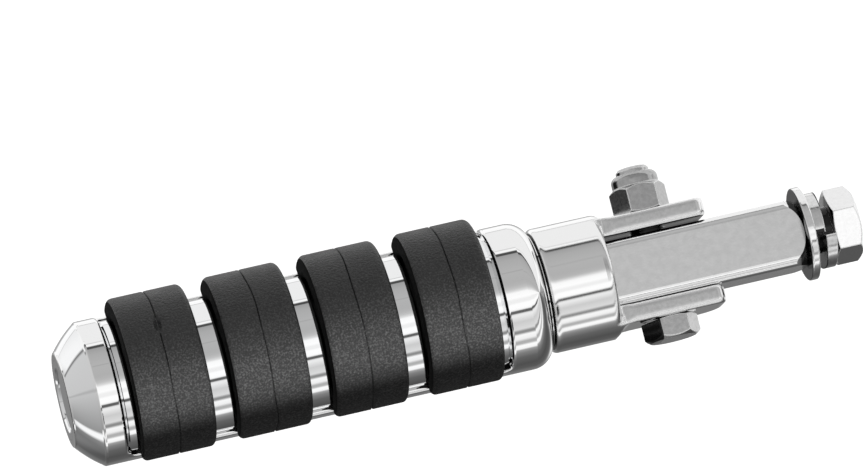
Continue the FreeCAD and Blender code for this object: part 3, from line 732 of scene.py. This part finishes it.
# %% Mould line and nick
line_depth = 0.42 * MM
line_width = 0.15 * MM
line_columns = MM * np.array([
    -0.95, -0.7, -0.5, -0.34, -0.22, -0.11, 0.0, 0.11, 0.22, 0.34, 0.5, 0.7, 0.95])
wing_end = 1.15 * MM
swing_sizes, swing_waves, swing_turn = (0.04, 0.16), (2, 5, 9), 6.28
notch_width = 0.14 * MM
notch_place = np.radians(68.0)
notch_spread = 0.22
nick_place = np.radians(16.5)
nick_length = 3.0 * MM
nick_half_width = 1.0 * MM
nick_depth = 0.95 * MM
tongue_place, tongue_width, tongue_share = -0.05, 0.42, 0.95


def line_swing(way, seed):
    """How far the line strays from the middle: three waves round the band, of random size and start."""
    random = np.random.default_rng(seed)
    return sum(random.uniform(*swing_sizes) * MM * np.sin(k * way + random.uniform(0, swing_turn))
               for k in swing_waves)


def line_sink(from_line, way):
    """Depth d exp(-(x / w)^2) across the line; w widens by another bell where the line has a notch."""
    spread = line_width + notch_width * np.exp(-((way - notch_place) / notch_spread) ** 2)
    return line_depth * np.exp(-(from_line / spread[:, None]) ** 2)


def nick_sink(from_line, way, sink):
    """The line's depth with the nick in it.

    The lens is 1 - (s / length)^2 along the line. The hollow's depth and width follow its root, and
    the tongue takes nearly all of the depth away in a bell curve down the middle.
    """
    along_line = (way - nick_place) * (skin_radius + skin_offset) / nick_length
    lens = np.clip(1.0 - along_line ** 2, 0.0, 1.0)[:, None]
    across_nick = from_line / nick_half_width
    hollow = nick_depth * np.sqrt(lens) * np.exp(-(across_nick / np.maximum(np.sqrt(lens), 0.2)) ** 4)
    tongue = tongue_share * np.exp(-((across_nick - tongue_place) / tongue_width) ** 2) * lens
    return np.where(lens > 0.0, np.maximum(sink * (1.0 - lens), hollow * (1.0 - tongue)), sink)


# %% [markdown]
# Under the rounded edge a band's side wall draws in, so that the bands look slimmer at the core than
# at the tread, and the edge casts a shadow there. The wall keeps its full width from the edge down,
# then follows a quarter ellipse inwards, and drops straight to the core from there.

# %% Side wall of a section
land_depth = 6.45 * MM
undercut = 2.0 * MM
undercut_height = 4.0 * MM
wall_climb = np.array([0.0, 0.06, 0.16, 0.3, 0.5, 0.75, 1.0])


def side_wall(length, width, corner, share):
    """Place across and height of the wall's points, from the core up to the rounded edge.

    The ellipse draws in by u (1 - sqrt(1 - (1 - t)^2)) at the share t of its height.
    """
    top = length - corner
    land = np.minimum(land_depth, 0.5 * top)
    reach_up = np.minimum(undercut_height, top - land)
    lean = undercut * share[:, None] * (1.0 - np.sqrt(1.0 - (1.0 - wall_climb[None, :]) ** 2))
    hub_x = -width[:, None] + undercut * share[:, None]
    wall_x = np.hstack([hub_x, -width[:, None] + lean, -width[:, None]])
    curve_q = land[:, None] + reach_up[:, None] * wall_climb[None, :]
    wall_q = np.hstack([np.zeros_like(hub_x), curve_q, top[:, None]])
    return wall_x, wall_q


# %% [markdown]
# A section runs up one wall, round the edge, across the skin and down the other side. With all the
# sections laid out as one array, a band is a few sums of whole arrays. The same turn that places a
# row also gives its share of painted highlight and of painted shade, and the column says whether a
# face is side wall.

# %% One band
clamp_turn = np.radians(-7.5)
side_lean = 0.5 * MM
# Where the painted highlight lies, and where the painted shade starts and ends.
painted_highlight_place = np.radians(-27.0)
painted_highlight_spread = 0.36
painted_low_shade_from = np.radians(-34.0)
painted_low_shade_to = np.radians(-54.0)
side_edge_columns = 3
wing_columns, edge_columns = 7, 7


def painted_light_shares(way):
    """The painted highlight as a bell curve over the turn, and the painted shade as a smooth step 3 t^2 -
    2 t^3 that ends it.
    """
    step = np.clip((way - painted_low_shade_from) / (painted_low_shade_to - painted_low_shade_from), 0.0, 1.0)
    painted_low_shade = step ** 2 * (3.0 - 2.0 * step)
    painted_highlight = np.exp(-((way - painted_highlight_place) / painted_highlight_spread) ** 2) * (1.0 - painted_low_shade)
    return {"painted_highlight": painted_highlight, "painted_low_shade": painted_low_shade}


def band_skin(centre, half_width, seed, has_nick):
    """Grid of one band, rows round the peg and columns round the section, with its shares of painted light
    and its side faces.

    A point of the section at (x, q) lies at x along the peg, and at q from the inner point towards
    the outer one. The whole band is then turned about the peg to where the clamp holds it.
    """
    path = whole_path(half_width)
    outer, inner, width, corner, share = path[0:2], path[2:4], path[4], path[5], path[6]
    length = np.hypot(*(outer - inner))
    heading = (outer - inner) / length
    way = np.arctan2(outer[0], outer[1])

    swing = line_swing(way, seed)[:, None]
    face = width - corner
    wing = -face[:, None] + (face - wing_end)[:, None] * np.linspace(0.0, 1.0, wing_columns)[None, :]
    skin_x = np.hstack([wing, line_columns[None, :] + swing, -wing[:, ::-1]])
    sink = line_sink(skin_x - swing, way)
    if has_nick:
        sink = nick_sink(skin_x - swing, way, sink)
    skin_q = length[:, None] - sink

    bend = np.radians(np.linspace(0.0, 90.0, edge_columns + 2)[1:-1])[None, :]
    edge_x = -width[:, None] + corner[:, None] * (1.0 - np.cos(bend))
    edge_q = length[:, None] - corner[:, None] * (1.0 - np.sin(bend))
    wall_x, wall_q = side_wall(length, width, corner, share)
    x = np.hstack([wall_x, edge_x, skin_x, -edge_x[:, ::-1], -wall_x[:, ::-1]])
    q = np.hstack([wall_q, edge_q, skin_q, edge_q[:, ::-1], wall_q[:, ::-1]])

    y = inner[0][:, None] + heading[0][:, None] * q
    z = inner[1][:, None] + heading[1][:, None] * q
    turned_y = y * np.cos(clamp_turn) - z * np.sin(clamp_turn) + side_lean
    turned_z = y * np.sin(clamp_turn) + z * np.cos(clamp_turn)
    side_columns = wall_x.shape[1] + side_edge_columns
    column = np.arange(x.shape[1])
    is_side = (column < side_columns - 1) | (column >= x.shape[1] - side_columns)
    painted_light = {key: values[:, None] * np.ones_like(x) for key, values in painted_light_shares(way).items()}
    return np.stack([centre + x, turned_y, turned_z], -1), painted_light, np.tile(is_side, (len(x), 1))


# %% Make the four bands
nose_band_x = min(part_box("rubber_band_%d" % number)[0].x for number in range(1, band_count + 1))
for number in range(1, band_count + 1):
    node_name = "rubber_band_%d" % number
    low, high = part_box(node_name)
    at_nose = low.x == nose_band_x
    middle_x, half_width = (low.x + high.x) / 2, (high.x - low.x) / 2
    grid, painted_light, is_side = band_skin(middle_x, half_width, seed=number, has_nick=at_nose)
    band = surface("moulded_band_%d" % number, grid)
    for key, values in painted_light.items():
        band.data.attributes.new(key, "FLOAT", "POINT").data.foreach_set("value", values.ravel())
    band.data.materials.append(finishes["rubber"])
    # The side faces take the rubber that is painted nearly black as shade.
    band.data.materials.append(finishes["rubber_side"])
    band.data.polygons.foreach_set("material_index", is_side.ravel().astype(np.int32))
    print("nick on it:", at_nose)
    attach(band, "peg")
    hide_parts(node_name)

# %% [markdown]
# The nose end is a dome more than a cone: its side bulges a little between the two edges. The skin
# here is a ring whose section is a shallow arc over the straight side. Both of its ends dip just
# under the chrome, so no edge shows. The taper itself stays as it is, under the ring.

# %% Bulge of the nose
nose_face_radius = 13.6 * MM
nose_side_radius = 20.85 * MM
nose_taper_length = 7.7 * MM
nose_inset = 0.12 * MM
face_dip, side_dip = 0.05 * MM, 0.07 * MM
nose_bulge = 0.42 * MM
nose_flatness = 2.0
nose_underside = 0.6 * MM
nose_steps, nose_columns = 33, 180


def nose_skin():
    """Ring round the nose whose section stands over the straight side c by bulge (1 - |2 s / c|^flatness).

    The steps s crowd towards both ends as a sine does, and three points back under the side close it.
    """
    low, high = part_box("nose_disc")
    first = np.array([low.x + nose_inset, nose_face_radius - face_dip])
    last = np.array([low.x + nose_taper_length + nose_inset, nose_side_radius - side_dip])
    chord = np.hypot(*(last - first))
    heading = (last - first) / chord
    outwards = np.array([-heading[1], heading[0]])
    step = np.sin(np.linspace(-0.5, 0.5, nose_steps) * np.pi) * 0.5 * chord
    height = nose_bulge * (1.0 - np.abs(2.0 * step / chord) ** nose_flatness)
    middle = (first + last) / 2
    arc = middle + step[:, None] * heading + height[:, None] * outwards
    under = middle + step[-10:8:-6, None] * heading - nose_underside * outwards
    profile = np.vstack([arc, under])
    turn = np.linspace(0.0, 2.0 * np.pi, nose_columns + 1)[None, :-1]
    x = profile[:, 0:1] * np.ones_like(turn)
    y = (low.y + high.y) / 2 + profile[:, 1:2] * np.sin(turn)
    z = (low.z + high.z) / 2 + profile[:, 1:2] * np.cos(turn)
    return np.stack([x, y, z], -1)


nose = surface("bulged_nose_side", nose_skin(), smooth_angle=40.0)
nose.data.materials.append(finishes["chrome"])
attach(nose, "peg")

# %% [markdown]
# The adjusting screw is threaded from end to end. A thread is a radius that depends on two things,
# the distance along the screw and the turn about it: their difference, counted in pitches, runs up
# and down one V. Blender's Screw modifier could sweep such a V, but a formula also rounds the point
# and bevels the end in the same surface. The hexagon socket is the same idea with a radius that
# follows six flats.

# %% Threaded adjusting screw
screw_length = 31.75 * MM
screw_radius = 3.97 * MM
screw_pitch = 1.411 * MM
thread_depth = 0.78 * MM
thread_slope, root_flat = 1.15, 0.05
thread_columns, steps_per_pitch = 72, 12
screw_tilt = np.radians(8.0)
socket_flats = 3.97 * MM
socket_depth = 5.0 * MM
socket_centre = 0.02
socket_flare, socket_lip = 1.06, 0.05 * MM
socket_bevel = 0.25 * MM
point_radius = 6.35 * MM
end_chamfer = 0.8 * MM
tip_radius = 0.05 * MM


def thread_grid(length):
    """Screw on its own axis from the socket's floor, over the thread, to the oval point.

    The radius is the smallest of three: the thread's V, a 45 degree chamfer at the start, and the
    point's sphere at the end. A hexagon's radius at a turn t from a flat's middle is r / cos t.
    """
    turn = np.linspace(0.0, 2.0 * np.pi, thread_columns + 1)[:-1]
    flats = 0.5 * socket_flats / np.cos((turn + np.pi / 6) % (np.pi / 3) - np.pi / 6)
    along_screw = np.linspace(0.0, length, int(round(length / screw_pitch * steps_per_pitch)))
    phase = (along_screw[:, None] / screw_pitch - turn[None, :] / (2.0 * np.pi)) % 1.0
    tooth = np.clip(thread_slope * np.abs(2.0 * phase - 1.0) - root_flat, 0.0, 1.0)
    radius = screw_radius - thread_depth * (1.0 - tooth)
    start_limit = screw_radius - end_chamfer + along_screw
    sphere = np.sqrt(np.clip(point_radius ** 2 - (along_screw - length + point_radius) ** 2, 0.0, None))
    end_limit = np.where(along_screw > length - point_radius, sphere, screw_radius)
    radius = np.minimum(radius, np.minimum(start_limit, end_limit)[:, None])
    radius[-1] = tip_radius
    socket = [flats * socket_centre, flats, flats, flats * socket_flare + socket_lip]
    socket_x = [socket_depth, socket_depth, socket_bevel, 0.0]
    radius = np.vstack(socket + [radius])
    x = np.concatenate([socket_x, along_screw])[:, None] * np.ones_like(turn)[None, :]
    return np.stack([x, radius * np.cos(turn), radius * np.sin(turn)], -1)


def lay_screw(grid):
    """Turn the screw's axis up and towards the peg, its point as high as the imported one."""
    low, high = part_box("adjusting_screw")
    axis = np.array([-np.sin(screw_tilt), 0.0, np.cos(screw_tilt)])
    side = np.array([0.0, 1.0, 0.0])
    other = np.cross(axis, side)
    laid = grid[..., 0:1] * axis + grid[..., 1:2] * side + grid[..., 2:3] * other
    middle_x = (laid[..., 0].min() + laid[..., 0].max()) / 2
    return laid + np.array([(low.x + high.x) / 2 - middle_x, 0.0, high.z - laid[..., 2].max()])


screw_grid = lay_screw(thread_grid(screw_length))
screw = surface("threaded_adjusting_screw", screw_grid, close_rows=False, smooth_angle=35.0)
screw.data.materials.append(finishes["bright_zinc"])
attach(screw, "adjuster")
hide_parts("adjusting_screw")

# %% [markdown]
# The floor is a plain pale sheet under the peg. To the camera it glows by itself, so it reads as
# white without more light on the chrome, and a part of it is lit, which keeps the shadow. It is
# hidden from mirror reflections, because the room already has the pale side that lies behind the peg.

# %% Floor
floor_drop = 14.0 * MM
floor_half = 3.0
floor_grey = 0.55
floor_glow = 0.86

floor_height = cad_box[0].z - floor_drop
floor_corners = floor_half * np.array([[-1, -1], [1, -1], [1, 1], [-1, 1]])
floor_mesh = bpy.data.meshes.new("floor")
floor_mesh.from_pydata([(x, y, floor_height) for x, y in floor_corners], [], [(0, 1, 2, 3)])
floor = bpy.data.objects.new("floor", floor_mesh)
bpy.context.scene.collection.objects.link(floor)
floor_finish, tree, shader, _ = finish("pale_floor", (floor_grey, floor_grey, floor_grey), 0.0, 0.9)
shader.inputs["Specular IOR Level"].default_value = 0.0
glow = add_node(tree, "ShaderNodeEmission")
glow.inputs["Color"].default_value = (floor_glow, floor_glow, floor_glow, 1.0)
tree.links.new(add_node(tree, "ShaderNodeLightPath").outputs["Is Camera Ray"], glow.inputs["Strength"])
both = add_node(tree, "ShaderNodeAddShader")
tree.links.new(shader.outputs[0], both.inputs[0])
tree.links.new(glow.outputs[0], both.inputs[1])
tree.links.new(both.outputs[0], tree.nodes["Material Output"].inputs["Surface"])
floor_mesh.materials.append(floor_finish)
floor.visible_glossy = False
print("floor", round((cad_box[0].z - floor_height) / MM, 1), "mm under the part")
